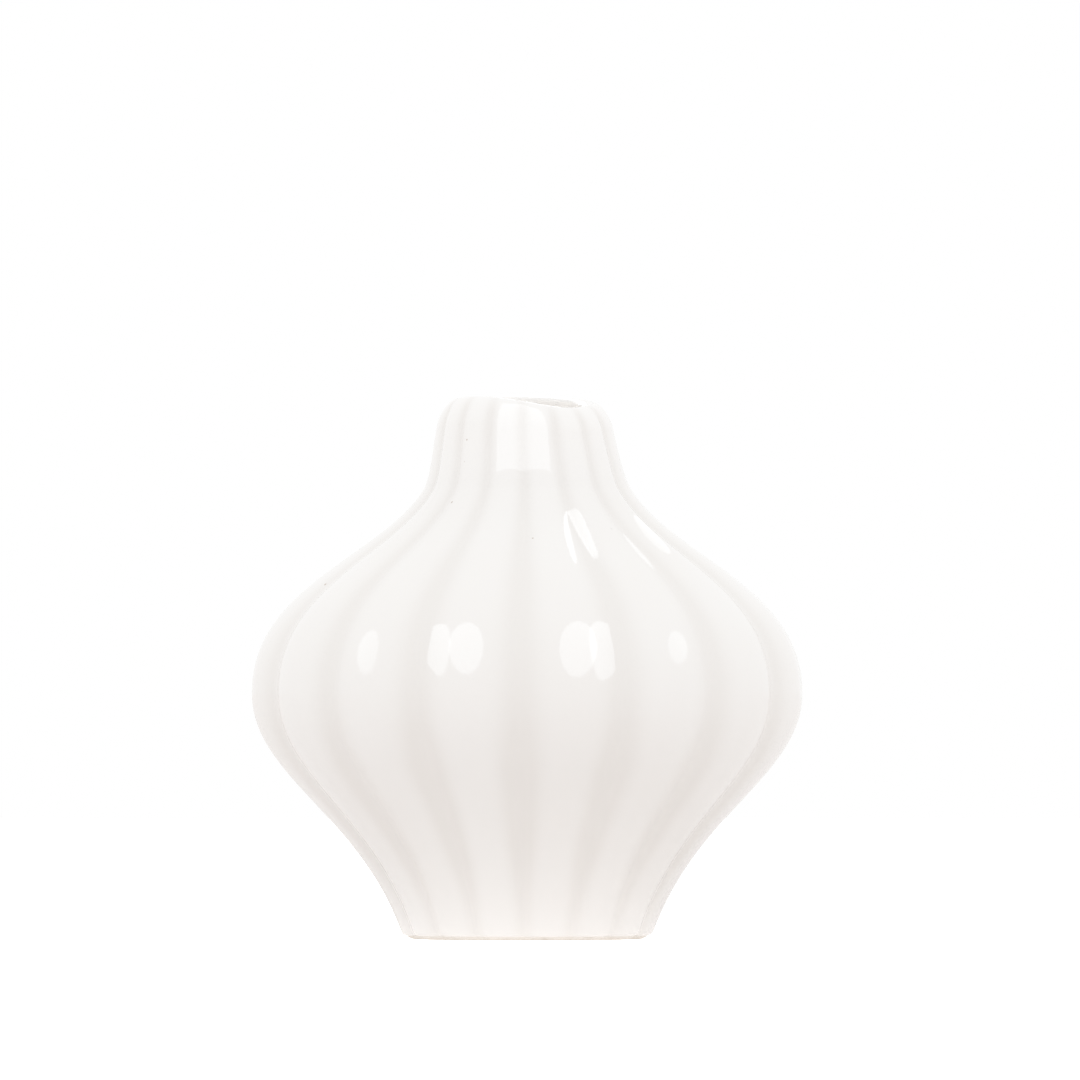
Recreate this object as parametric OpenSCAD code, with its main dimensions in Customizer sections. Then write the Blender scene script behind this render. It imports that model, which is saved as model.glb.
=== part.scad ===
// Onion-shaped ceramic vase with upright lobes: a clay body under three separate coats of glaze.
// Millimetres, standing on z = 0 with its axis on Z, and with a groove between two lobes facing -Y.

/* [Overall] */
// Height from the table to the top of the glazed lip
vase_height = 120; // [104:1:140]
// Number of lobes round the body
lobes = 16; // [12:1:20]

/* [Belly] */
// Glazed width over two opposite lobes at the widest place
belly_width = 122.8; // [112:0.2:134]
// Height of the widest place
belly_height = 54.4; // [49:0.2:60]
// How far the outline stays full below the widest place
belly_reach_below = 17.8; // [14:0.2:21]
// How far the outline stays full above the widest place
belly_reach_above = 23.2; // [18:0.2:26]
// Depth of the clay's grooves at the widest place
belly_groove = 3.5; // [2:0.1:4.6]

/* [Foot] */
// Glazed width over two opposite lobes just above the rounded corner of the foot
foot_width = 56.4; // [52:0.2:62]
// Radius of the rounded corner of the foot
foot_round = 3.2; // [2:0.1:4]
// Outward lean of the wall where it leaves the foot, in degrees from upright
foot_lean = 21; // [14:1:28]
// How far the wall keeps that lean
foot_reach = 28.4; // [22:0.2:32]
// Depth of the clay's grooves at the foot
foot_groove = 1.3; // [0.6:0.1:2]
// Height up to which the clay of the foot is bare
bare_foot = 0.8; // [0.5:0.1:1.2]
// Radius of the hollow under the foot
well_radius = 18; // [14:0.5:19.5]
// Depth of the hollow under the foot
well_depth = 2; // [1.8:0.1:3]
// Radius of the corner between the side and the top of that hollow
well_corner = 1; // [0.7:0.1:1.2]
// Height wiped clean of glaze along the side of that hollow
well_bare = 0.6; // [0.4:0.1:0.9]

/* [Neck and lip] */
// Glazed width over two opposite lobes where the shoulder turns into the neck
neck_base_width = 46.6; // [44:0.2:50]
// Height from that turn up to the top of the glazed lip
neck_height = 21.2; // [18:0.2:26]
// Inward lean of the shoulder where it turns, in degrees from upright
shoulder_lean = 33; // [26:1:40]
// How far the shoulder keeps that lean
shoulder_reach = 17.8; // [13:0.2:20]
// How far the neck keeps that lean
neck_reach = 3; // [2:0.1:4.5]
// Glazed width over two opposite lobes at the top of the neck
neck_top_width = 39.4; // [37:0.2:42]
// Inward lean of the top of the neck, in degrees from upright
neck_lean = 9; // [4:1:13]
// How far the top of the neck keeps that lean
neck_hold = 4.5; // [3:0.1:6]
// Depth of the clay's grooves on the neck
neck_groove = 1; // [0.5:0.05:1.3]
// Height over which the neck rounds in to the crown of the lip
lip_round = 6; // [4.5:0.1:7]
// Radius of the edge between the crown and the bore
mouth_edge = 0.9; // [0.6:0.1:1.3]

/* [Walls and coats] */
// Thickness of the clay behind the bottom of a groove
wall = 4.6; // [3.6:0.1:5.4]
// Thickness of the clay floor above the hollow under the foot
floor_wall = 4.6; // [3.6:0.1:6]
// Height over which the floor curves up into the wall inside
floor_fillet = 8; // [6:0.5:11]
// Thickness of each coat of glaze
glaze = 0.4; // [0.25:0.05:0.6]
// Extra glaze that has run together in the bottom of a groove
glaze_pool = 0.35; // [0:0.05:0.4]

/* [Hidden] */

// Facets across one lobe, an even number so that the crest falls on a corner
lobe_sides = 6;
ring_sides = lobes * lobe_sides;
ring_step = 360 / ring_sides;
half_lobe = 180 / lobes;

// Bands of facets up each stretch of the outline
lower_bands = 8;
upper_bands = 9;
neck_bands = 3;
lip_bands = 3;
// How even the bands are: 1 makes all alike in height, 0 makes them narrowest where the outline bends most
even_share = 0.25;
// Steps in which a stretch is measured before its bands are laid out
measure_steps = 48;

// Steps of the curve from floor to wall inside, and of the small round corners
fillet_bands = 5;
edge_bands = 4;

// Facets of a full turn in the round parts
$fn = 96;

// Flat left on the crown between the lobed outside and the bore
crown_land = 0.5;
// Gap where the outer coat and the liner meet on that flat
coat_seam = 0.02;
// How far a cut runs past the face that it opens
overrun = 2;
// Fullness of the lip's rounding, where 0.55 is a quarter circle
lip_full_share = 0.42;

// Sizes of the clay, which lies one coat inside the glazed sizes
belly_r = belly_width / 2 - glaze;
foot_r = foot_width / 2 - glaze;
neck_base_r = neck_base_width / 2 - glaze;
neck_top_r = neck_top_width / 2 - glaze;
crown_z = vase_height - glaze;
neck_top_z = crown_z - lip_round;
neck_base_z = vase_height - neck_height;
bore_r = neck_top_r - neck_groove - wall;
crown_r = bore_r + mouth_edge;
land_r = crown_r + crown_land;
floor_z = well_depth + floor_wall;

// Headings along the outline, as [outwards, upwards]
foot_heading = [sin(foot_lean), cos(foot_lean)];
shoulder_heading = [-sin(shoulder_lean), cos(shoulder_lean)];
neck_heading = [-sin(neck_lean), cos(neck_lean)];

// Places on the outline, as [distance from the axis, height]
foot_corner = [foot_r - foot_round * cos(foot_lean), foot_round];
foot_top = [foot_r, foot_round * (1 - sin(foot_lean))];
widest = [belly_r, belly_height];
neck_base = [neck_base_r, neck_base_z];
neck_top = [neck_top_r, neck_top_z];
crown = [land_r, crown_z];

// The four curves of the outline, each as a start, two handles and an end
lower_curve = [
  foot_top,
  foot_top + foot_reach * foot_heading,
  widest - [0, belly_reach_below],
  widest
];
upper_curve = [
  widest,
  widest + [0, belly_reach_above],
  neck_base - shoulder_reach * shoulder_heading,
  neck_base
];
neck_curve = [
  neck_base,
  neck_base + neck_reach * shoulder_heading,
  neck_top - neck_hold * neck_heading,
  neck_top
];
lip_curve = [
  neck_top,
  neck_top + lip_round * lip_full_share * neck_heading,
  crown + [(neck_top_r - land_r) * lip_full_share, 0],
  crown
];

function mix(a, b, share) = a + (b - a) * share;
function cubic(p, t) =
  pow(1 - t, 3) * p[0] + 3 * pow(1 - t, 2) * t * p[1] + 3 * (1 - t) * t * t * p[2] + pow(t, 3) * p[3];
function cubic_heading(p, t) =
  pow(1 - t, 2) * (p[1] - p[0]) + 2 * (1 - t) * t * (p[2] - p[1]) + t * t * (p[3] - p[2]);
function outward(heading) = [heading.y, -heading.x] / norm(heading);
function lean(heading) = atan2(heading.x, heading.y);
function sum(list) = list * [for (x = list) 1];

// Values of t at which the bands of a curve start, closer together where it bends more
function band_starts(curve, bands) =
  let(
    places = [for (i = [0 : measure_steps]) cubic(curve, i / measure_steps)],
    leans = [for (i = [0 : measure_steps]) lean(cubic_heading(curve, i / measure_steps))],
    lengths = [for (i = [1 : measure_steps]) norm(places[i] - places[i - 1])],
    bends = [for (i = [1 : measure_steps]) sqrt(abs(leans[i] - leans[i - 1]) * lengths[i - 1])],
    parts = lengths * even_share / sum(lengths) + bends * (1 - even_share) / sum(bends),
    reached = [
      for (i = 0, total = 0; i < measure_steps; total = total + parts[i], i = i + 1)
        [total, i / measure_steps]
    ]
  )
  [for (k = [0 : bands - 1]) lookup(k / bands, concat(reached, [[1, 1]]))];

// Depth of the clay's grooves at a place on the outline, in step with the width there
function body_groove(p) =
  p.y < belly_height
    ? mix(foot_groove, belly_groove, (p.x - foot_r) / (belly_r - foot_r))
    : mix(neck_groove, belly_groove, (p.x - neck_top_r) / (belly_r - neck_top_r));
// On the lip the grooves run out towards the crown
function lip_groove(p) = neck_groove * (1 - pow((p.y - neck_top_z) / lip_round, 2));

// A station is a place on the clay's outline, its outward direction and its depth of groove
function foot_station(turn) = [
  foot_corner + foot_round * [sin(turn), -cos(turn)],
  [sin(turn), -cos(turn)],
  foot_groove
];
function body_station(curve, t) =
  let(p = cubic(curve, t))
  [p, outward(cubic_heading(curve, t)), body_groove(p)];
function lip_station(t) =
  let(p = cubic(lip_curve, t))
  [p, outward(cubic_heading(lip_curve, t)), lip_groove(p)];

// The glaze starts on the foot's corner where that has risen to bare_foot, and is full halfway on
glaze_line_turn = acos(1 - bare_foot / foot_round);
glaze_full_turn = (glaze_line_turn + 90 - foot_lean) / 2;
bottom_station = foot_station(0);
glaze_line_station = foot_station(glaze_line_turn);
body_stations = concat(
  [for (t = band_starts(lower_curve, lower_bands)) body_station(lower_curve, t)],
  [for (t = band_starts(upper_curve, upper_bands)) body_station(upper_curve, t)],
  [for (t = band_starts(neck_curve, neck_bands)) body_station(neck_curve, t)]
);
lip_stations = [for (t = concat(band_starts(lip_curve, lip_bands), [1])) lip_station(t)];
glazed_stations = concat([foot_station(glaze_full_turn)], body_stations, lip_stations);
clay_stations = concat([bottom_station, glaze_line_station], glazed_stations);

// Distance from the axis to a lobe, turned from its crest: the lobe is a circular arc from groove to groove
function lobe_reach(crest, groove, turn) =
  let(
    root = crest - groove,
    centre = (crest * crest - root * root) / (2 * (crest - root * cos(half_lobe))),
    arc = crest - centre,
    aside = centre * sin(turn)
  )
  centre * cos(turn) + sqrt(arc * arc - aside * aside);

// One closed ring of corners round the axis, which starts in a groove
function ring(crest, z, groove) = [
  for (i = [0 : ring_sides - 1])
    let(
      turn = (i % lobe_sides) * ring_step - half_lobe,
      reach = lobe_reach(crest, groove, turn)
    )
    [reach * cos(i * ring_step), reach * sin(i * ring_step), z]
];
function clay_ring(station) = ring(station[0].x, station[0].y, station[2]);
function glaze_ring(station) =
  let(p = station[0] + glaze * station[1])
  ring(p.x, p.y, station[2] * (1 - glaze_pool / belly_groove));

// Two facets between neighbours on ring a and ring b, split alike on both sides of every crest
function band(a, b) = [
  for (i = [0 : ring_sides - 1])
    let(
      j = (i + 1) % ring_sides,
      low = a * ring_sides,
      high = b * ring_sides,
      rising = (i % lobe_sides) < lobe_sides / 2
    )
    each rising
      ? [[low + i, high + j, low + j], [low + i, high + i, high + j]]
      : [[low + i, high + i, low + j], [low + j, high + i, high + j]]
];

// Solid through a stack of rings, closed by a flat face at the bottom and at the top
module stacked_loft(rings) {
  last = len(rings) - 1;
  polyhedron(
    points = [for (r = rings) each r],
    faces = concat(
      [[for (i = [0 : ring_sides - 1]) i]],
      [for (k = [0 : last - 1]) each band(k, k + 1)],
      [[for (i = [ring_sides - 1 : -1 : 0]) last * ring_sides + i]]
    )
  );
}

// Solid through rings that lead up the outside and back down the inside to the first one
module looped_loft(rings) {
  count = len(rings);
  polyhedron(
    points = [for (r = rings) each r],
    faces = [for (k = [0 : count - 1]) each band(k, (k + 1) % count)]
  );
}

// Inside face of the clay, one wall behind the bottoms of the grooves
wall_line = [for (s = body_stations) s[0] - (s[2] + wall) * s[1]];
wall_headings = [for (s = body_stations) [-s[1].y, s[1].x]];
first_kept = [for (i = [0 : len(wall_line) - 1]) if (wall_line[i].y > floor_z + floor_fillet) i][0];
fillet_end = wall_line[first_kept];
fillet_heading = wall_headings[first_kept];
fillet_knee = [
  fillet_end.x - fillet_heading.x * (fillet_end.y - floor_z) / fillet_heading.y,
  floor_z
];
fillet_start = fillet_knee - [norm(fillet_end - fillet_knee), 0];

function floor_curve(t) =
  pow(1 - t, 2) * fillet_start + 2 * t * (1 - t) * fillet_knee + t * t * fillet_end;

// The hollow under the foot from a given height upwards, less a coat of the given thickness on the clay
function well_outline(low, coat) = concat(
  [[0, low], [well_radius - coat, low]],
  [
    for (i = [0 : edge_bands])
      let(turn = 90 * i / edge_bands)
      [well_radius - well_corner, well_depth - well_corner] + (well_corner - coat) * [cos(turn), sin(turn)]
  ],
  [[0, well_depth - coat]]
);

// Points from the axis out over the floor, up the wall and the bore, and out over the mouth's edge,
// with a coat of the given thickness laid on the clay
function inside_outline(coat) =
  let(
    points = concat(
      [for (i = [0 : fillet_bands - 1]) floor_curve(i / fillet_bands)],
      [for (i = [first_kept : len(wall_line) - 1]) wall_line[i]],
      [[bore_r, neck_top_z], [bore_r, crown_z - mouth_edge]]
    ),
    count = len(points),
    bodies = [
      for (i = [0 : count - 2])
        let(
          before = points[max(i - 1, 0)],
          after = points[i + 1]
        )
        points[i] - coat * outward(i == 0 ? [1, 0] : after - before)
    ],
    mouth = [crown_r, crown_z - mouth_edge],
    edge = [
      for (i = [0 : edge_bands])
        let(turn = 90 * i / edge_bands)
        mouth + (mouth_edge + coat) * [-cos(turn), sin(turn)]
    ]
  )
  concat([[0, floor_z + coat]], bodies, edge);

module clay_body() {
  color("linen")
  difference() {
    stacked_loft([for (s = clay_stations) clay_ring(s)]);
    rotate_extrude()
      polygon(concat(inside_outline(0), [[crown_r, crown_z + overrun], [0, crown_z + overrun]]));
    rotate_extrude()
      polygon(well_outline(-overrun, 0));
  }
}

module outer_glaze() {
  color("snow")
  looped_loft(concat(
    [clay_ring(glaze_line_station)],
    [for (s = glazed_stations) glaze_ring(s)],
    [for (i = [len(glazed_stations) - 1 : -1 : 0]) clay_ring(glazed_stations[i])]
  ));
}

module liner_glaze() {
  inner = inside_outline(glaze);
  outer = inside_outline(0);
  rim = land_r * cos(ring_step / 2) - coat_seam;
  color("whitesmoke")
  rotate_extrude()
    polygon(concat(
      outer,
      [[rim, crown_z], [rim, crown_z + glaze]],
      [for (i = [len(inner) - 1 : -1 : 0]) inner[i]]
    ));
}

module foot_well_glaze() {
  color("snow")
  rotate_extrude()
    difference() {
      polygon(well_outline(well_bare, 0));
      polygon(well_outline(-overrun, glaze));
    }
}

clay_body();
outer_glaze();
liner_glaze();
foot_well_glaze();
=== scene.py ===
import math

import bmesh
import bpy
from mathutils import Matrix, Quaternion, Vector, noise


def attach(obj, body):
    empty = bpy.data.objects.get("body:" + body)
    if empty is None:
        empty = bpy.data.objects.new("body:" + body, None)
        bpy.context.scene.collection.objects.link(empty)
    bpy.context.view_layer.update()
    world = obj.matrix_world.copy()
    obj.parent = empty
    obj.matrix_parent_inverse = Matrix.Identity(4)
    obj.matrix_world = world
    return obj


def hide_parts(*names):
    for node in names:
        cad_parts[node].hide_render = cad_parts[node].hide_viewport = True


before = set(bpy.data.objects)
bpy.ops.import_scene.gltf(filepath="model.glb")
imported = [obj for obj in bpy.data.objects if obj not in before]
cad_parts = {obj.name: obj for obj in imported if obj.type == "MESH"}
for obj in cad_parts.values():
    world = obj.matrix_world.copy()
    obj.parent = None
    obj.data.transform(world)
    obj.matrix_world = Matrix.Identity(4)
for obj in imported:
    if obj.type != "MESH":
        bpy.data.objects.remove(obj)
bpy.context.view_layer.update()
print("frame loaded")

# Sizes are in millimetres and degrees, as in the solids, and the meshes are in metres
mm = 0.001

# The clay's outline. Radii are distances from the axis to the crest of a lobe
vase = {
    "bellyRadius": 61.0,
    "bellyHeight": 54.4,
    "bellyReachBelow": 17.8,    # how far the outline stays full on either side of the widest place
    "bellyReachAbove": 23.2,
    "footRadius": 27.8,
    "footRound": 3.2,
    "footLean": 21,             # leans are measured from upright
    "footReach": 28.4,
    "neckBaseRadius": 22.9,
    "neckBaseHeight": 98.8,
    "shoulderLean": 33,
    "shoulderReach": 17.8,
    "neckReach": 3,
    "neckTopRadius": 19.3,
    "neckTopHeight": 113.6,
    "neckLean": 9,
    "neckHold": 4.5,
    "crownRadius": 15.1,
    "crownHeight": 119.6,
    "lipFullness": 0.42,
    "glaze": 0.4,               # thickness of a coat on open faces
}

lobes = {
    "count": 16,
    "bellyGroove": 3.2,         # depths of the clay's grooves
    "footGroove": 1.3,
    "neckGroove": 1.1,
    "pool": 0.35,               # extra glaze in the bottom of the deepest groove
    "softShallow": 0.35,        # share of a groove's depth over which two lobes run together
    "softDeep": 1.0,            # the same in the deepest groove
    # how strongly the darker groove colour shows, by height: glaze that has run together, and
    # painted shade
    "poolAndShadeStrength": (
        (0, 0.2), (18, 0.45), (28, 0.4), (36, 0.4), (46, 0.42), (54, 0.37),
        (64, 0.35), (80, 0.35), (92, 0.3), (104, 0.25), (112, 0.3), (117, 0.35), (119.6, 0.2),
    ),
    # where it shows in full, by height, as a share of the depth measured down from the crest
    "poolAndShadeReach": ((8, 0.85), (20, 0.6), (38, 0.55), (50, 0.85)),
    "poolAndShadeStart": 0.05,          # where it starts to show, in the same measure
    "sides": 20,                # steps across one lobe
    "crowding": 0.5,            # how far the steps close up towards a groove
}

# Small faults of a cast and dipped vase
byHand = {
    "swell": 0.14,              # slow waves in the wall
    "swellScale": 24,
    "swellFull": 12,            # height from which they have their full size
    # where the lip sinks: direction seen from above, how far, and how narrow the dip is
    "lipDips": ((-30, 2.0, 2.2), (-55, 1.05, 9), (175, 0.9, 8)),
    "lipDipFrom": 106,
    "neckAside": -0.55,         # the neck stands a little to one side
    "neckAsideFrom": 97,
}

meshing = {
    "weld": 0.0005,             # points closer than this become one
    "sharpFrom": 50,            # edges that bend by more than this stay sharp
}

lobeStep = 2 * math.pi / lobes["count"]


def along(curve, t):
    a, b, c, d = curve
    s = 1 - t
    return a * s**3 + b * (3 * s * s * t) + c * (3 * s * t * t) + d * t**3


def outward(curve, t):
    a, b, c, d = curve
    s = 1 - t
    way = (b - a) * (s * s) + (c - b) * (2 * s * t) + (d - c) * (t * t)
    return Vector((way.y, -way.x)).normalized()


def leaning(degrees):
    return Vector((math.sin(math.radians(degrees)), math.cos(math.radians(degrees))))


def mix(low, high, share):
    return low + (high - low) * share


def easing(low, high, value):
    # 0 below low, 1 above high, and a soft rise between them
    share = min(max((value - low) / (high - low), 0), 1)
    return share * share * (3 - 2 * share)


def between(steps, value):
    # straight lines between the given (value, result) pairs
    for (low, first), (high, second) in zip(steps, steps[1:]):
        if value < high:
            return mix(first, second, max((value - low) / (high - low), 0))
    return steps[-1][1]


def grooveDepth(place):
    # the grooves deepen with the width, and run out towards the crown
    if place.y > vase["neckTopHeight"]:
        rise = (place.y - vase["neckTopHeight"]) / (vase["crownHeight"] - vase["neckTopHeight"])
        return lobes["neckGroove"] * (1 - rise * rise)
    if place.y > vase["bellyHeight"]:
        share = (place.x - vase["neckTopRadius"]) / (vase["bellyRadius"] - vase["neckTopRadius"])
        return mix(lobes["neckGroove"], lobes["bellyGroove"], share)
    share = (place.x - vase["footRadius"]) / (vase["bellyRadius"] - vase["footRadius"])
    return mix(lobes["footGroove"], lobes["bellyGroove"], max(share, 0))


footUp = leaning(vase["footLean"])
shoulderUp = leaning(-vase["shoulderLean"])
neckUp = leaning(-vase["neckLean"])
footCorner = Vector((vase["footRadius"] - vase["footRound"] * footUp.y, vase["footRound"]))
footTop = footCorner + vase["footRound"] * Vector((footUp.y, -footUp.x))
widest = Vector((vase["bellyRadius"], vase["bellyHeight"]))
neckBase = Vector((vase["neckBaseRadius"], vase["neckBaseHeight"]))
neckTop = Vector((vase["neckTopRadius"], vase["neckTopHeight"]))
crown = Vector((vase["crownRadius"], vase["crownHeight"]))
lipRise = vase["lipFullness"] * (vase["crownHeight"] - vase["neckTopHeight"])
lipRun = vase["lipFullness"] * (vase["neckTopRadius"] - vase["crownRadius"])

# Four curved stretches from the foot's corner to the crown
outline = {
    "lower": (
        footTop,
        footTop + vase["footReach"] * footUp,
        widest - Vector((0, vase["bellyReachBelow"])),
        widest,
    ),
    "upper": (
        widest,
        widest + Vector((0, vase["bellyReachAbove"])),
        neckBase - vase["shoulderReach"] * shoulderUp,
        neckBase,
    ),
    "neck": (
        neckBase,
        neckBase + vase["neckReach"] * shoulderUp,
        neckTop - vase["neckHold"] * neckUp,
        neckTop,
    ),
    "lip": (neckTop, neckTop + lipRise * neckUp, crown + Vector((lipRun, 0)), crown),
}


def outsideRows(stretch, rows, coat=0):
    # (place, groove depth) up one stretch of the outline, with a coat of glaze laid on the clay
    made = []
    for row in range(rows):
        place = along(outline[stretch], row / rows)
        depth = grooveDepth(place)
        if coat:
            depth *= 1 - lobes["pool"] / lobes["bellyGroove"]
        made.append((place + coat * outward(outline[stretch], row / rows), depth))
    return made


def footRows(fromTurn, toTurn, rows, coats):
    # round the foot's corner, measured from straight down; coats are the coat at its start and end
    made = []
    for row in range(rows):
        turn = math.radians(mix(fromTurn, toTurn, row / rows))
        coat = mix(coats[0], coats[1], easing(0, 1, row / rows))
        out = Vector((math.sin(turn), -math.cos(turn)))
        made.append((footCorner + (vase["footRound"] + coat) * out, lobes["footGroove"]))
    return made


def lobeReach(crest, depth, turn):
    # Distance from the axis to a lobe, turned from its crest. A lobe is a circular arc,
    # and it runs into its neighbour softly
    if depth < 0.001:
        return crest
    root = crest - depth
    centre = (crest**2 - root**2) / (2 * (crest - root * math.cos(lobeStep / 2)))
    arc = crest - centre

    def reach(angle):
        aside = centre * math.sin(angle)
        return centre * math.cos(angle) + math.sqrt(max(arc * arc - aside * aside, 0))

    soft = depth * mix(lobes["softShallow"], lobes["softDeep"], depth / lobes["bellyGroove"])
    own = reach(turn)
    other = reach(lobeStep - abs(turn))
    near = max(soft - abs(own - other), 0) / soft
    return max(own, other) + near * near * soft / 4


def spun(name, rows, sides, closed):
    # rows are (place, groove depth) in the order in which the outline is walked
    bm = bmesh.new()
    depthLayer = bm.verts.layers.float.new("grooveDepth")
    line = []
    for place, depth in rows:
        vert = bm.verts.new((place.x * mm, 0, place.y * mm))
        vert[depthLayer] = depth
        line.append(vert)
    pairs = list(zip(line, line[1:]))
    if closed:
        pairs.append((line[-1], line[0]))
    edges = [bm.edges.new(pair) for pair in pairs]
    bmesh.ops.spin(
        bm, geom=line + edges, cent=(0, 0, 0), axis=(0, 0, 1),
        angle=2 * math.pi, steps=sides, use_merge=True,
    )
    bmesh.ops.remove_doubles(bm, verts=bm.verts[:], dist=meshing["weld"] * mm)
    bmesh.ops.recalc_face_normals(bm, faces=bm.faces[:])
    shapeByHand(bm, depthLayer)
    mesh = bpy.data.meshes.new(name)
    bm.to_mesh(mesh)
    bm.free()
    for face in mesh.polygons:
        face.use_smooth = True
    mesh.set_sharp_from_angle(angle=math.radians(meshing["sharpFrom"]))
    piece = bpy.data.objects.new(name, mesh)
    bpy.context.scene.collection.objects.link(piece)
    return piece


def lipDip(angle):
    return sum(
        drop * (0.5 + 0.5 * math.cos(angle - math.radians(side))) ** narrow
        for side, drop, narrow in byHand["lipDips"]
    )


def shapeByHand(bm, depthLayer):
    # Draws in the grooves, then adds the small faults. The attribute "hollow" marks the grooves
    # for a darker colour: glaze that has run together, and painted shade
    hollowLayer = bm.verts.layers.float.new("hollow")
    crowding = lobes["crowding"] * lobeStep / (2 * math.pi)
    for vert in bm.verts:
        radius = math.hypot(vert.co.x, vert.co.y) / mm
        height = vert.co.z / mm
        if radius < 0.01:       # on the axis
            continue
        angle = math.atan2(vert.co.y, vert.co.x)
        depth = vert[depthLayer]
        if depth > 0:
            angle -= crowding * math.sin(angle * lobes["count"])
            turn = (angle % lobeStep) - lobeStep / 2
            reach = lobeReach(radius, depth, turn)
            strength = between(lobes["poolAndShadeStrength"], height)
            poolAndShadeReach = between(lobes["poolAndShadeReach"], height)
            # the grooves get a darker colour: glaze that has run together, and painted shade
            hollow = easing(lobes["poolAndShadeStart"], poolAndShadeReach, (radius - reach) / depth)
            vert[hollowLayer] = hollow * strength
            radius = reach
        place = Vector((math.cos(angle) * radius, math.sin(angle) * radius, height))
        wave = noise.noise(place / byHand["swellScale"])
        radius -= byHand["swell"] * (0.5 + 0.5 * wave) * easing(0, byHand["swellFull"], height)
        aside = byHand["neckAside"] * easing(byHand["neckAsideFrom"], vase["neckTopHeight"], height)
        height -= lipDip(angle) * easing(byHand["lipDipFrom"], vase["crownHeight"], height)
        vert.co = Vector((math.cos(angle) * radius + aside, math.sin(angle) * radius, height)) * mm


# Outer glaze: the lobed skin from just above the foot to the crown
outerGlaze = {
    "startTurn": 41.4,          # where it starts on the foot's corner, from straight down
    "fullTurn": 55,
    "footRows": 8,
    "lowerRows": 40,
    "upperRows": 44,
    "neckRows": 14,
    "lipRows": 14,
    "innerShare": 3,            # rows outside for each one on the clay side
    "innerLeast": 4,            # fewest rows of a stretch on the clay side
}


def makeOuterGlaze():
    sizes = outerGlaze
    coat = vase["glaze"]
    least = sizes["innerLeast"]
    atCorner = 90 - vase["footLean"]
    outer = footRows(sizes["startTurn"], sizes["fullTurn"], sizes["footRows"], (0, coat))
    outer += footRows(sizes["fullTurn"], atCorner, sizes["footRows"] // 2, (coat, coat))
    inner = footRows(sizes["startTurn"], atCorner, least, (0, 0))
    for stretch in ("lower", "upper", "neck", "lip"):
        rows = sizes[stretch + "Rows"]
        outer += outsideRows(stretch, rows, coat)
        inner += outsideRows(stretch, max(rows // sizes["innerShare"], least))
    outer.append((crown + Vector((0, coat)), 0))
    inner.append((crown, 0))
    return spun("outerGlazeCoat", outer + inner[:0:-1], lobes["count"] * lobes["sides"], True)


outerPiece = makeOuterGlaze()
print("outer glaze made")

# Clay body: the wall, the floor and the foot ring
clay = {
    "wall": 4.6,                # clay behind the bottom of a groove
    "floorHeight": 6.6,
    "filletHeight": 8,
    "boreRadius": 13.7,
    "mouthEdge": 0.9,
    "wellRadius": 18,
    "wellDepth": 2,
    "wellCorner": 1,
    "sides": 10,                # steps across one lobe
    "rows": 12,
    "edgeRows": 6,
}


def wellRows(low, coat):
    # the hollow under the foot, from its middle down to its rim
    rounding = clay["wellCorner"]
    corner = Vector((clay["wellRadius"] - rounding, clay["wellDepth"] - rounding))
    made = [(Vector((0, clay["wellDepth"] - coat)), 0)]
    for row in range(clay["edgeRows"] + 1):
        turn = math.pi / 2 * (1 - row / clay["edgeRows"])
        around = Vector((math.cos(turn), math.sin(turn)))
        made.append((corner + (rounding - coat) * around, 0))
    made.append((Vector((clay["wellRadius"] - coat, low)), 0))
    return made


def insideRows(rows, coat):
    # the floor, the wall and the bore, and over the mouth's edge
    line = []
    for stretch in ("lower", "upper", "neck"):
        for row in range(rows):
            place = along(outline[stretch], row / rows)
            behind = grooveDepth(place) + clay["wall"]
            line.append((place, outward(outline[stretch], row / rows), behind))
    wallLine = [place - out * behind for place, out, behind in line]
    wayUp = [Vector((-out.y, out.x)) for place, out, behind in line]
    # the floor curves up into the wall from start to end
    first = next(
        i for i, place in enumerate(wallLine)
        if place.y > clay["floorHeight"] + clay["filletHeight"]
    )
    end = wallLine[first]
    run = wayUp[first].x * (end.y - clay["floorHeight"]) / wayUp[first].y
    knee = Vector((end.x - run, clay["floorHeight"]))
    start = knee - Vector(((end - knee).length, 0))
    points = []
    for row in range(rows):
        t = row / rows
        points.append(start * (1 - t)**2 + knee * (2 * t * (1 - t)) + end * t * t)
    points += wallLine[first:]
    edgeHeight = vase["crownHeight"] - clay["mouthEdge"]
    points.append(Vector((clay["boreRadius"], vase["neckTopHeight"])))
    points.append(Vector((clay["boreRadius"], edgeHeight)))
    made = [(Vector((0, clay["floorHeight"] + coat)), 0)]
    for i, place in enumerate(points[:-1]):
        way = points[i + 1] - points[max(i - 1, 0)]
        if i == 0:
            way = Vector((1, 0))
        made.append((place + coat * Vector((-way.y, way.x)).normalized(), 0))
    centre = Vector((clay["boreRadius"] + clay["mouthEdge"], edgeHeight))
    for row in range(clay["edgeRows"] + 1):
        turn = math.pi / 2 * row / clay["edgeRows"]
        around = Vector((-math.cos(turn), math.sin(turn)))
        made.append((centre + (clay["mouthEdge"] + coat) * around, 0))
    return made


def makeClayBody():
    rows = wellRows(0, 0)
    rows += footRows(0, 90 - vase["footLean"], clay["edgeRows"] * 2, (0, 0))
    for stretch in ("lower", "upper", "neck", "lip"):
        rows += outsideRows(stretch, clay["rows"])
    rows.append((crown, 0))
    rows += insideRows(clay["rows"], 0)[::-1]
    return spun("clayBodyCast", rows, lobes["count"] * clay["sides"], False)


clayPiece = makeClayBody()
print("clay body made")

# Liner glaze: the inside, and over the mouth's edge to the crown
liner = {
    "seam": 0.02,               # gap to the outer coat, on the crown
    "rows": 24,
    "sides": 192,
}


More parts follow.
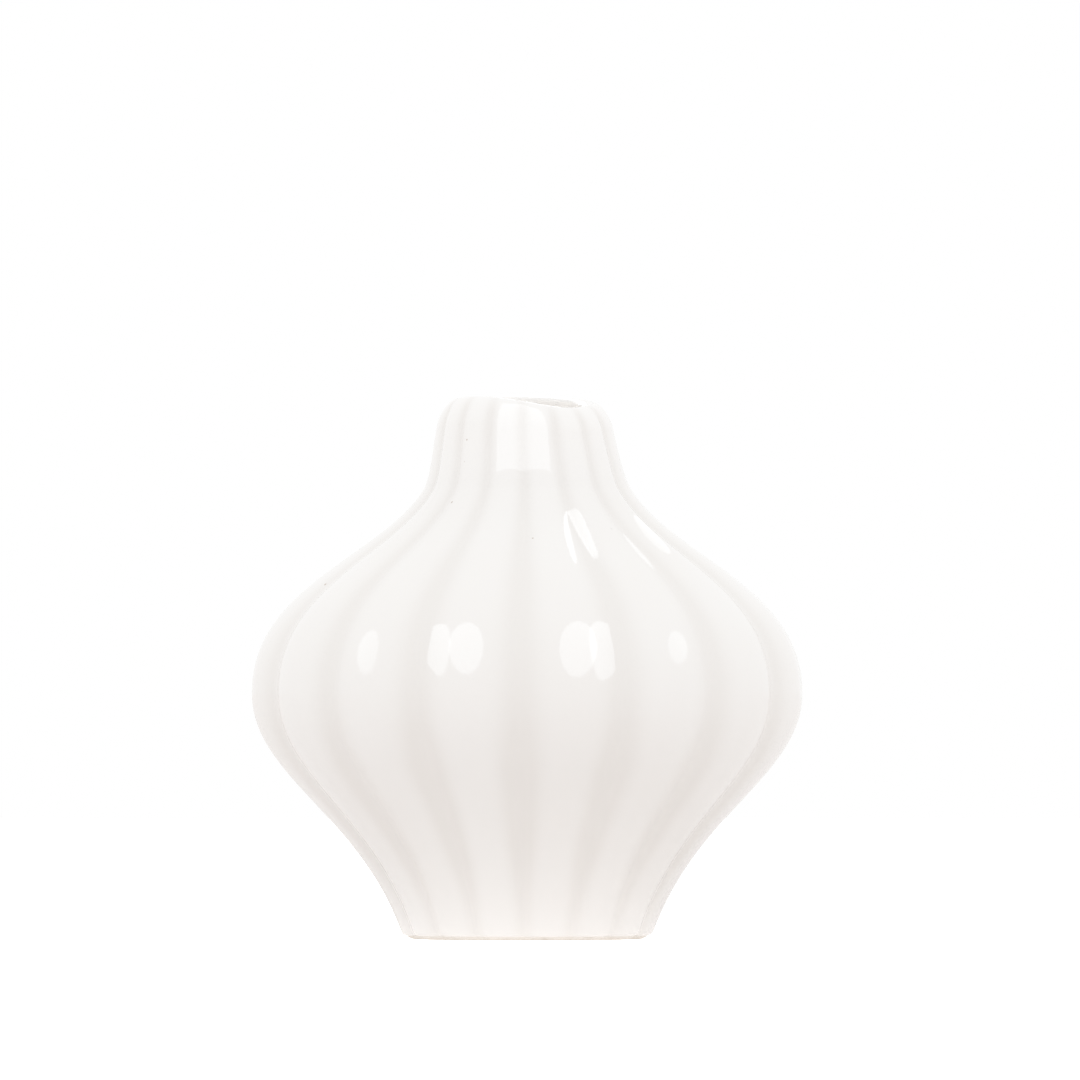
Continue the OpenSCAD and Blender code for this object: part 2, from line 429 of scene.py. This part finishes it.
def makeLiner():
    rim = vase["crownRadius"] - liner["seam"]
    rows = insideRows(liner["rows"], vase["glaze"])
    rows.append((Vector((rim, vase["crownHeight"] + vase["glaze"])), 0))
    rows.append((Vector((rim, vase["crownHeight"])), 0))
    rows += insideRows(liner["rows"], 0)[::-1]
    return spun("linerGlazeCoat", rows, liner["sides"], False)


linerPiece = makeLiner()
print("liner glaze made")

# Glaze in the hollow under the foot
footWell = {
    "bare": 0.6,                # height wiped clean along its side
    "sides": 128,
}


def makeFootWell():
    rows = wellRows(footWell["bare"], vase["glaze"]) + wellRows(footWell["bare"], 0)[::-1]
    return spun("footWellGlaze", rows, footWell["sides"], False)


footWellPiece = makeFootWell()
print("foot well glaze made")


# Finishes, made of nodes on Object coordinates
def emptyTree(owner):
    owner.use_nodes = True
    owner.node_tree.nodes.clear()
    return owner.node_tree


def newFinish(name):
    finish = bpy.data.materials.new(name)
    tree = emptyTree(finish)
    shader = tree.nodes.new("ShaderNodeBsdfPrincipled")
    output = tree.nodes.new("ShaderNodeOutputMaterial")
    tree.links.new(shader.outputs[0], output.inputs[0])
    place = tree.nodes.new("ShaderNodeTexCoord")
    return finish, tree, shader, place.outputs["Object"]


def cloud(tree, place, size, detail=2.0, roughness=0.5):
    # soft noise from 0 to 1, with features of the given size in millimetres
    node = tree.nodes.new("ShaderNodeTexNoise")
    node.inputs["Scale"].default_value = 1 / (size * mm)
    node.inputs["Detail"].default_value = detail
    node.inputs["Roughness"].default_value = roughness
    tree.links.new(place, node.inputs["Vector"])
    return node.outputs["Fac"]


# Soft edges of small spots, as shares of the spot's size
spotEdges = {
    "dotFull": 0.6,
    "pinholeFull": 0.25,
    "pinholeEnd": 0.6,
}


def dots(tree, place, spacing, size, share):
    # 1 inside small dots, of which only a share of the cells has one
    cells = tree.nodes.new("ShaderNodeTexVoronoi")
    cells.inputs["Scale"].default_value = 1 / (spacing * mm)
    tree.links.new(place, cells.inputs["Vector"])
    inside = tree.nodes.new("ShaderNodeMapRange")
    inside.inputs["From Min"].default_value = size / spacing
    inside.inputs["From Max"].default_value = spotEdges["dotFull"] * size / spacing
    tree.links.new(cells.outputs["Distance"], inside.inputs["Value"])
    parted = tree.nodes.new("ShaderNodeSeparateColor")
    tree.links.new(cells.outputs["Color"], parted.inputs[0])
    chosen = compute(tree, "LESS_THAN", parted.outputs[0], share)
    return compute(tree, "MULTIPLY", inside.outputs[0], chosen)


def distanceTo(tree, place, spot):
    node = tree.nodes.new("ShaderNodeVectorMath")
    node.operation = "DISTANCE"
    tree.links.new(place, node.inputs[0])
    node.inputs[1].default_value = Vector(spot) * mm
    return node.outputs["Value"]


def pinhole(tree, place, spot, size, shade):
    # the given shade in the middle of one small spot, and 0 outside it
    distance = distanceTo(tree, place, spot)
    full = spotEdges["pinholeFull"] * size * mm
    end = spotEdges["pinholeEnd"] * size * mm
    return remap(tree, distance, full, end, shade, 0)


def compute(tree, operation, first, second):
    node = tree.nodes.new("ShaderNodeMath")
    node.operation = operation
    for socket, value in zip(node.inputs, (first, second)):
        if isinstance(value, (int, float)):
            socket.default_value = value
        else:
            tree.links.new(value, socket)
    return node.outputs[0]


def remap(tree, value, low, high, toLow, toHigh):
    node = tree.nodes.new("ShaderNodeMapRange")
    node.interpolation_type = "SMOOTHSTEP"
    node.inputs["From Min"].default_value = low
    node.inputs["From Max"].default_value = high
    node.inputs["To Min"].default_value = toLow
    node.inputs["To Max"].default_value = toHigh
    tree.links.new(value, node.inputs["Value"])
    return node.outputs[0]


def blend(tree, share, first, second):
    node = tree.nodes.new("ShaderNodeMix")
    node.data_type = "RGBA"
    tree.links.new(share, node.inputs["Factor"])
    for socket, value in zip(node.inputs[6:8], (first, second)):     # the two colour sockets
        if isinstance(value, tuple):
            socket.default_value = (*value, 1)
        else:
            tree.links.new(value, socket)
    return node.outputs[2]


def raised(tree, height, depth, before=None):
    # bump of the given height in millimetres
    node = tree.nodes.new("ShaderNodeBump")
    node.inputs["Distance"].default_value = depth * mm
    tree.links.new(height, node.inputs["Height"])
    if before:
        tree.links.new(before, node.inputs["Normal"])
    return node.outputs[0]


glazeLook = {
    "white": (0.922, 0.909, 0.892),
    "thin": (0.908, 0.888, 0.866),      # where the glaze runs thin
    "thinSize": 38,
    "thinBetween": (0.35, 0.65),        # steps of the soft noise over which it comes in
    "thinShare": 0.5,
    "pooledGlazeAndShade": (0.80, 0.766, 0.730),     # in the grooves: glaze that has run together, and painted shade
    "neck": (0.955, 0.945, 0.932),      # painted light: the glaze is lighter up the neck
    "neckLightFrom": 94,
    "neckLightFull": 106,
    "neckLightShare": 0.8,
    "speck": (0.42, 0.31, 0.22),
    "speckSpacing": 13,
    "speckSize": 0.28,
    "speckShare": 0.10,                 # of the places that could have one
    # pinholes seen in the photo: place and size across
    "pinholes": (
        ((-44.0, -15.9, 78.2), 0.7), ((2.2, -33.5, 88.3), 0.45), ((-16.1, -19.0, 96.3), 0.7),
        ((-13.5, -16.5, 105.2), 0.45), ((-12.9, -15.9, 110.0), 0.5),
    ),
    "pinholeShade": 0.6,
    "roughness": (0.088, 0.143),
    "roughSize": 9,
    "roughBetween": (0.3, 0.7),
    "peelSize": 5.5,                    # the faint waves of a fired glaze
    "peelHeight": 0.012,
    "pitSpacing": 9,
    "pitSize": 0.22,
    "pitShare": 0.14,
    "pitDepth": 0.08,
    "ior": 1.5,
}

# The liner is a little warmer, and has no specks
linerLook = dict(glazeLook, white=(0.925, 0.905, 0.88), thin=(0.91, 0.885, 0.855))


def makeGlaze(name, look, specks):
    finish, tree, shader, place = newFinish(name)
    drift = cloud(tree, place, look["thinSize"])
    drift = remap(tree, drift, *look["thinBetween"], 0, look["thinShare"])
    colour = blend(tree, drift, look["white"], look["thin"])
    parted = tree.nodes.new("ShaderNodeSeparateXYZ")
    tree.links.new(place, parted.inputs[0])
    # painted light: the colour lightens up the neck
    low, high = look["neckLightFrom"] * mm, look["neckLightFull"] * mm
    paintedNeckLight = remap(tree, parted.outputs["Z"], low, high, 0, look["neckLightShare"])
    colour = blend(tree, paintedNeckLight, colour, look["neck"])
    # painted shade, with the glaze that has run together, darkens the grooves
    hollow = tree.nodes.new("ShaderNodeAttribute")
    hollow.attribute_name = "hollow"
    colour = blend(tree, hollow.outputs["Fac"], colour, look["pooledGlazeAndShade"])
    if specks:
        speck = dots(tree, place, look["speckSpacing"], look["speckSize"], look["speckShare"])
        for spot, size in look["pinholes"]:
            hole = pinhole(tree, place, spot, size, look["pinholeShade"])
            speck = compute(tree, "MAXIMUM", speck, hole)
        colour = blend(tree, speck, colour, look["speck"])
    tree.links.new(colour, shader.inputs["Base Color"])
    rough = cloud(tree, place, look["roughSize"])
    rough = remap(tree, rough, *look["roughBetween"], *look["roughness"])
    tree.links.new(rough, shader.inputs["Roughness"])
    peel = raised(tree, cloud(tree, place, look["peelSize"], detail=1.0), look["peelHeight"])
    pits = dots(tree, place, look["pitSpacing"], look["pitSize"], look["pitShare"])
    sunk = raised(tree, compute(tree, "MULTIPLY", pits, -1), look["pitDepth"], peel)
    tree.links.new(sunk, shader.inputs["Normal"])
    shader.inputs["IOR"].default_value = look["ior"]
    return finish


clayLook = {
    "base": (0.87, 0.835, 0.79),
    "grainSize": 0.7,
    "grainHeight": 0.05,
    "dark": (0.77, 0.725, 0.665),       # follows the grain
    "darkBetween": (0.35, 0.7),
    "darkShare": 0.5,
    "rubbed": (0.66, 0.61, 0.55),       # where the ring has rubbed on a table
    "rubbedSize": 6,
    "rubbedBetween": (0.52, 0.7),
    "rubbedShare": 0.5,
    "roughness": (0.7, 0.95),
    "roughBetween": (0.2, 0.8),
}


def makeBareClay():
    look = clayLook
    finish, tree, shader, place = newFinish("bareClay")
    grain = cloud(tree, place, look["grainSize"], detail=3.0, roughness=0.6)
    dark = remap(tree, grain, *look["darkBetween"], 0, look["darkShare"])
    colour = blend(tree, dark, look["base"], look["dark"])
    scuff = cloud(tree, place, look["rubbedSize"], detail=3.0)
    scuff = remap(tree, scuff, *look["rubbedBetween"], 0, look["rubbedShare"])
    colour = blend(tree, scuff, colour, look["rubbed"])
    tree.links.new(colour, shader.inputs["Base Color"])
    rough = remap(tree, grain, *look["roughBetween"], *look["roughness"])
    tree.links.new(rough, shader.inputs["Roughness"])
    tree.links.new(raised(tree, grain, look["grainHeight"]), shader.inputs["Normal"])
    return finish


whiteGlaze = makeGlaze("whiteGlaze", glazeLook, True)
innerGlaze = makeGlaze("linerGlazeFinish", linerLook, False)
bareClay = makeBareClay()

for piece, node, finish, slot in (
    (outerPiece, "outer_glaze", whiteGlaze, "white_glaze"),
    (clayPiece, "clay_body", bareClay, "bare_clay"),
    (linerPiece, "liner_glaze", innerGlaze, "liner_glaze"),
    (footWellPiece, "foot_well_glaze", whiteGlaze, "white_glaze"),
):
    piece.data.materials.append(finish)
    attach(piece, "root")
    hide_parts(node)
print("finishes made")

floorSetting = {
    "width": 6000,
    "gap": 0.02,                # below the foot, so that the two faces don't flicker
    "paper": (0.89, 0.862, 0.85),
    "cameraGlow": 0.9,          # what the camera sees besides the light on the paper
    "glossGlow": 0.05,          # what the gloss sees besides it
    "footGlow": 0.38,           # light that comes through the paper round the foot
    "footGlowForward": 8,
    "footGlowRadius": 54,
    "footGlowFull": 0.3,        # share of that radius inside which it has its full strength
}


def mirrored(tree, rays):
    # 1 for a ray that gloss or a clear body sends on
    glossy = rays.outputs["Is Glossy Ray"]
    return compute(tree, "MAXIMUM", glossy, rays.outputs["Is Transmission Ray"])


def makePaper():
    finish = bpy.data.materials.new("palePaper")
    tree = emptyTree(finish)
    paper = tree.nodes.new("ShaderNodeBsdfDiffuse")
    paper.inputs["Color"].default_value = (*floorSetting["paper"], 1)
    glow = tree.nodes.new("ShaderNodeEmission")
    rays = tree.nodes.new("ShaderNodeLightPath")
    gloss = compute(tree, "MULTIPLY", mirrored(tree, rays), floorSetting["glossGlow"])
    seen = compute(tree, "MULTIPLY", rays.outputs["Is Camera Ray"], floorSetting["cameraGlow"])
    place = tree.nodes.new("ShaderNodeTexCoord").outputs["Object"]
    distance = distanceTo(tree, place, (0, -floorSetting["footGlowForward"], 0))
    reach = floorSetting["footGlowRadius"] * mm
    full = floorSetting["footGlowFull"] * reach
    around = remap(tree, distance, full, reach, floorSetting["footGlow"], 0)
    strength = compute(tree, "ADD", compute(tree, "ADD", seen, gloss), around)
    tree.links.new(strength, glow.inputs["Strength"])
    both = tree.nodes.new("ShaderNodeAddShader")
    tree.links.new(paper.outputs[0], both.inputs[0])
    tree.links.new(glow.outputs[0], both.inputs[1])
    # seen from below, the floor is clear and shows the foot
    side = tree.nodes.new("ShaderNodeNewGeometry")
    clear = tree.nodes.new("ShaderNodeBsdfTransparent")
    oneSided = tree.nodes.new("ShaderNodeMixShader")
    tree.links.new(side.outputs["Backfacing"], oneSided.inputs[0])
    tree.links.new(both.outputs[0], oneSided.inputs[1])
    tree.links.new(clear.outputs[0], oneSided.inputs[2])
    output = tree.nodes.new("ShaderNodeOutputMaterial")
    tree.links.new(oneSided.outputs[0], output.inputs[0])
    return finish


def makeFloor():
    bm = bmesh.new()
    bmesh.ops.create_grid(bm, x_segments=1, y_segments=1, size=floorSetting["width"] / 2 * mm)
    bmesh.ops.translate(bm, vec=(0, 0, -floorSetting["gap"] * mm), verts=bm.verts[:])
    mesh = bpy.data.meshes.new("floor")
    bm.to_mesh(mesh)
    bm.free()
    floor = bpy.data.objects.new("floor", mesh)
    bpy.context.scene.collection.objects.link(floor)
    floor.data.materials.append(makePaper())


makeFloor()
print("floor laid")

light = {
    "surround": 1.03,           # the white room that fills the shadows
    "glossRoom": 1.0,           # how bright that room looks in the gloss
    "backdrop": 1,              # how bright the camera sees it
    "daylight": (0.82, 0.92, 1.0),
    # small windows close to the glaze, seen only in its gloss: place, what it points at,
    # width, depth, turn, brightness and shape
    "windows": {
        "farLeft": ((-40.6, -50.5, 67.5), (-19.8, -35.8, 51.7), 9.6, 15.8, 14, 1.0, "ELLIPSE"),
        "leftFlank": ((-23.0, -59.3, 68.5), (3.1, -73.9, 69.9), 17.8, 16.8, 72, 1.4, "ELLIPSE"),
        "left": ((-15.0, -63.0, 70.4), (-8.7, -38.2, 54.8), 14.5, 21.0, 14, 1.4, "ELLIPSE"),
        "right": ((15.1, -61.0, 68.0), (3.7, -37.6, 53.1), 13.1, 19.5, -17, 1.35, "ELLIPSE"),
        "rightFlank": ((24.0, -59.6, 69.4), (-2.0, -74.5, 70.8), 23.1, 18.9, -74, 1.5, "ELLIPSE"),
        "farRight": ((40.2, -48.4, 68.4), (16.3, -37.3, 54.2), 7.9, 11.4, -31, 0.95, "ELLIPSE"),
        "neck": ((-0.5, -18.9, 117.4), (-0.5, 10.6, 111.8), 15, 28, 0, 1.4, "RECTANGLE"),
        "shoulder": ((13.4, -28.0, 96.5), (30.6, -19.8, 73.2), 10.5, 7, 18, 1.6, "ELLIPSE"),
        "shoulderSide": ((29.5, -14.3, 91.7), (7.7, -21.2, 72.3), 5.4, 13.1, -49, 0.38, "ELLIPSE"),
    },
    # those that are placed half round the vase too, so that its back has gloss
    "alsoBehind": (
        "leftFlank", "left", "right", "rightFlank", "neck", "shoulder", "shoulderSide",
    ),
    # light that comes through the thin neck into the mouth
    "mouth": ((0, 0, 104), (0, 0, 140), 12, 12, 0, 2.3, "ELLIPSE"),
    "mouthColour": (1.0, 0.91, 0.82),
}


def makeLamp(name, window, colour):
    place, target, width, depth, turn, brightness, shape = window
    lamp = bpy.data.lights.new(name, "AREA")
    lamp.shape = shape
    lamp.color = colour
    lamp.size = width * mm
    lamp.size_y = depth * mm
    lamp.energy = brightness * math.pi * width * mm * depth * mm    # as bright at any size
    holder = bpy.data.objects.new(name, lamp)
    holder.location = Vector(place) * mm
    way = Vector(target) - Vector(place)
    facing = way.to_track_quat("-Z", "Y") @ Quaternion((0, 0, 1), math.radians(turn))
    holder.rotation_euler = facing.to_euler()
    holder.visible_camera = False
    bpy.context.scene.collection.objects.link(holder)
    return holder


def halfRound(place):
    return (-place[0], -place[1], place[2])


def makeWindows():
    for name, window in light["windows"].items():
        makeLamp(name, window, light["daylight"]).visible_diffuse = False
        if name in light["alsoBehind"]:
            window = (halfRound(window[0]), halfRound(window[1]), *window[2:])
            makeLamp(name + "Behind", window, light["daylight"]).visible_diffuse = False


def makeRoom():
    world = bpy.data.worlds.new("whiteRoom")
    bpy.context.scene.world = world
    tree = emptyTree(world)
    rays = tree.nodes.new("ShaderNodeLightPath")
    room = remap(tree, mirrored(tree, rays), 0, 1, light["surround"], light["glossRoom"])
    strength = tree.nodes.new("ShaderNodeMix")
    tree.links.new(rays.outputs["Is Camera Ray"], strength.inputs["Factor"])
    tree.links.new(room, strength.inputs["A"])
    strength.inputs["B"].default_value = light["backdrop"]
    background = tree.nodes.new("ShaderNodeBackground")
    background.inputs["Color"].default_value = (1, 1, 1, 1)
    tree.links.new(strength.outputs["Result"], background.inputs["Strength"])
    output = tree.nodes.new("ShaderNodeOutputWorld")
    tree.links.new(background.outputs[0], output.inputs[0])


makeWindows()
makeLamp("mouth", light["mouth"], light["mouthColour"])
makeRoom()
print("lights placed")

# The photograph's view: level, from a long way off
camera = {
    "azimuth": 1.75,
    "elevation": -0.2,
    "distance": 5000,
    "frameWidth": 238.2,        # what the picture takes in at the vase
    "aimRight": 2.76,
    "aimHeight": 88.0,
    "sensor": 36,
}


def makeCamera():
    turn = math.radians(camera["azimuth"])
    rise = math.radians(camera["elevation"])
    back = Vector((
        math.sin(turn) * math.cos(rise),
        -math.cos(turn) * math.cos(rise),
        math.sin(rise),
    ))
    right = Vector((math.cos(turn), math.sin(turn), 0))
    aim = right * camera["aimRight"] + Vector((0, 0, camera["aimHeight"]))
    data = bpy.data.cameras.new("camera")
    data.sensor_width = camera["sensor"]
    data.lens = camera["sensor"] * camera["distance"] / camera["frameWidth"]
    holder = bpy.data.objects.new("camera", data)
    holder.location = (aim + back * camera["distance"]) * mm
    holder.rotation_euler = (-back).to_track_quat("-Z", "Y").to_euler()
    bpy.context.scene.collection.objects.link(holder)
    bpy.context.scene.camera = holder


makeCamera()
bpy.context.scene.view_settings.view_transform = "Standard"
print("camera set")
